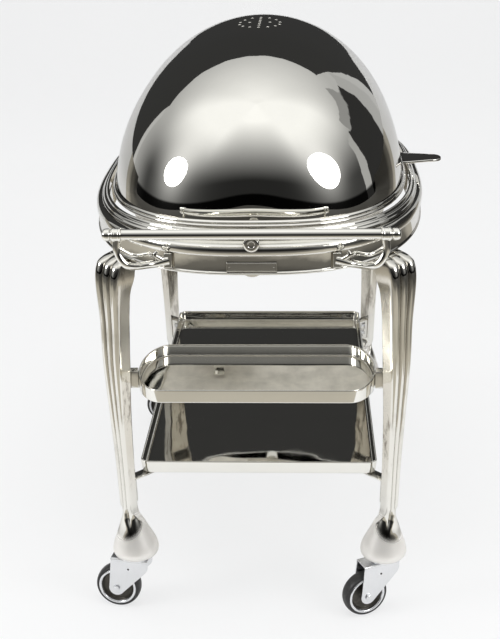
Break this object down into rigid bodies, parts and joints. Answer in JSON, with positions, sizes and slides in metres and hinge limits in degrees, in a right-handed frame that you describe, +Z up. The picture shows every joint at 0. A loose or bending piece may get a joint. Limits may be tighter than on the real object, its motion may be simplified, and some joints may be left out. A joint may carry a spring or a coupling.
{
  "type": "carving trolley",
  "caption": "Roll-top carving trolley: domed cover on end shafts, oval frame with push bar, reeded legs, plate tray, shelf and swivel castors.",
  "frame": {"origin": "on the floor, under the middle of the trolley's box", "axes": "+Z up, +Y along the trolley away from the push bar, +X towards the cover's handle"},
  "size_m": [0.6303, 1.021, 0.985],
  "materials": {
    "silver_plate": "polished silver plate, warm, with fine wiping scratches",
    "castor_chrome": "bright chrome plate",
    "wheel_steel": "turned steel wheel",
    "steel_lining": "satin steel lining",
    "castor_rubber": "grey moulded rubber",
    "maple_board": "oiled maple"
  },
  "bodies": {
    "trolley": {"oval_band": "silver_plate", "ledge_moulding": "silver_plate", "shaft_block_near": "silver_plate", "shaft_block_far": "silver_plate", "end_shaft_near": "silver_plate", "end_shaft_far": "silver_plate", "name_plate": "silver_plate", "push_bar": "silver_plate", "bar_cap_left": "silver_plate", "bar_cap_right": "silver_plate", "bar_bracket_left": "silver_plate", "bar_bracket_right": "silver_plate", "tray_bracket_left": "silver_plate", "tray_bracket_right": "silver_plate", "deck_plate": "silver_plate", "burner_holder": "silver_plate", "lower_shelf": "silver_plate", "plate_tray": "silver_plate", "pan_hanger_near": "steel_lining", "pan_hanger_far": "steel_lining", "water_pan": "steel_lining", "leg_near_left": "silver_plate", "shelf_bracket_near_left": "silver_plate", "castor_stem_near_left": "castor_chrome", "leg_near_right": "silver_plate", "shelf_bracket_near_right": "silver_plate", "castor_stem_near_right": "castor_chrome", "leg_far_left": "silver_plate", "shelf_bracket_far_left": "silver_plate", "castor_stem_far_left": "castor_chrome", "leg_far_right": "silver_plate", "shelf_bracket_far_right": "silver_plate", "castor_stem_far_right": "castor_chrome"},
    "cover": {"cover_shell": "silver_plate", "cover_edge_bead": "silver_plate", "cover_handle": "silver_plate", "cover_lug_near": "steel_lining", "cover_lug_far": "steel_lining"},
    "well_left": {"sauce_well_left": "steel_lining"},
    "well_right": {"sauce_well_right": "steel_lining"},
    "lid_left": {"well_lid_left": "silver_plate"},
    "lid_right": {"well_lid_right": "silver_plate"},
    "board": {"carving_board": "maple_board"},
    "burner": {"burner_cup": "steel_lining"},
    "castor_near_left": {"castor_fork_near_left": "castor_chrome", "castor_axle_near_left": "castor_chrome"},
    "wheel_near_left": {"castor_wheel_near_left": "wheel_steel", "castor_tyre_near_left": "castor_rubber"},
    "castor_near_right": {"castor_fork_near_right": "castor_chrome", "castor_axle_near_right": "castor_chrome"},
    "wheel_near_right": {"castor_wheel_near_right": "wheel_steel", "castor_tyre_near_right": "castor_rubber"},
    "castor_far_left": {"castor_fork_far_left": "castor_chrome", "castor_axle_far_left": "castor_chrome"},
    "wheel_far_left": {"castor_wheel_far_left": "wheel_steel", "castor_tyre_far_left": "castor_rubber"},
    "castor_far_right": {"castor_fork_far_right": "castor_chrome", "castor_axle_far_right": "castor_chrome"},
    "wheel_far_right": {"castor_wheel_far_right": "wheel_steel", "castor_tyre_far_right": "castor_rubber"}
  },
  "joints": [
    {"name": "cover_roll", "type": "hinge", "parent": "trolley", "child": "cover", "pos_m": [-0.01849, 0.01, 0.72], "axis": [0, -1, 0], "range_deg": [0, 170]},
    {"name": "well_left_lift", "type": "slide", "parent": "trolley", "child": "well_left", "axis": [0, 0, 1], "range_m": [0, 0.06]},
    {"name": "lid_left_lift", "type": "slide", "parent": "well_left", "child": "lid_left", "axis": [0, 0, 1], "range_m": [0, 0.05]},
    {"name": "well_right_lift", "type": "slide", "parent": "trolley", "child": "well_right", "axis": [0, 0, 1], "range_m": [0, 0.06]},
    {"name": "lid_right_lift", "type": "slide", "parent": "well_right", "child": "lid_right", "axis": [0, 0, 1], "range_m": [0, 0.05]},
    {"name": "board_lift", "type": "slide", "parent": "trolley", "child": "board", "axis": [0, 0, 1], "range_m": [0, 0.04]},
    {"name": "burner_lift", "type": "slide", "parent": "trolley", "child": "burner", "axis": [0, 0, 1], "range_m": [0, 0.03]},
    {"name": "castor_swivel_near_left", "type": "hinge", "parent": "trolley", "child": "castor_near_left", "pos_m": [-0.23757, -0.37308, 0.11], "axis": [0, 0, 1], "continuous": true},
    {"name": "wheel_spin_near_left", "type": "hinge", "parent": "castor_near_left", "child": "wheel_near_left", "pos_m": [-0.27303, -0.36683, 0.041], "axis": [-0.1736, -0.9848, 0], "continuous": true},
    {"name": "castor_swivel_near_right", "type": "hinge", "parent": "trolley", "child": "castor_near_right", "pos_m": [0.20059, -0.37308, 0.11], "axis": [0, 0, 1], "continuous": true},
    {"name": "wheel_spin_near_right", "type": "hinge", "parent": "castor_near_right", "child": "wheel_near_right", "pos_m": [0.16796, -0.3883, 0.041], "axis": [0.4226, -0.9063, 0], "continuous": true},
    {"name": "castor_swivel_far_left", "type": "hinge", "parent": "trolley", "child": "castor_far_left", "pos_m": [-0.23757, 0.39308, 0.11], "axis": [0, 0, 1], "continuous": true},
    {"name": "wheel_spin_far_left", "type": "hinge", "parent": "castor_far_left", "child": "wheel_far_left", "pos_m": [-0.27349, 0.39559, 0.041], "axis": [-0.0698, -0.9976, 0], "continuous": true},
    {"name": "castor_swivel_far_right", "type": "hinge", "parent": "trolley", "child": "castor_far_right", "pos_m": [0.20059, 0.39308, 0.11], "axis": [0, 0, 1], "continuous": true},
    {"name": "wheel_spin_far_right", "type": "hinge", "parent": "castor_far_right", "child": "wheel_far_right", "pos_m": [0.16538, 0.3856, 0.041], "axis": [0.2079, -0.9781, 0], "continuous": true}
  ]
}
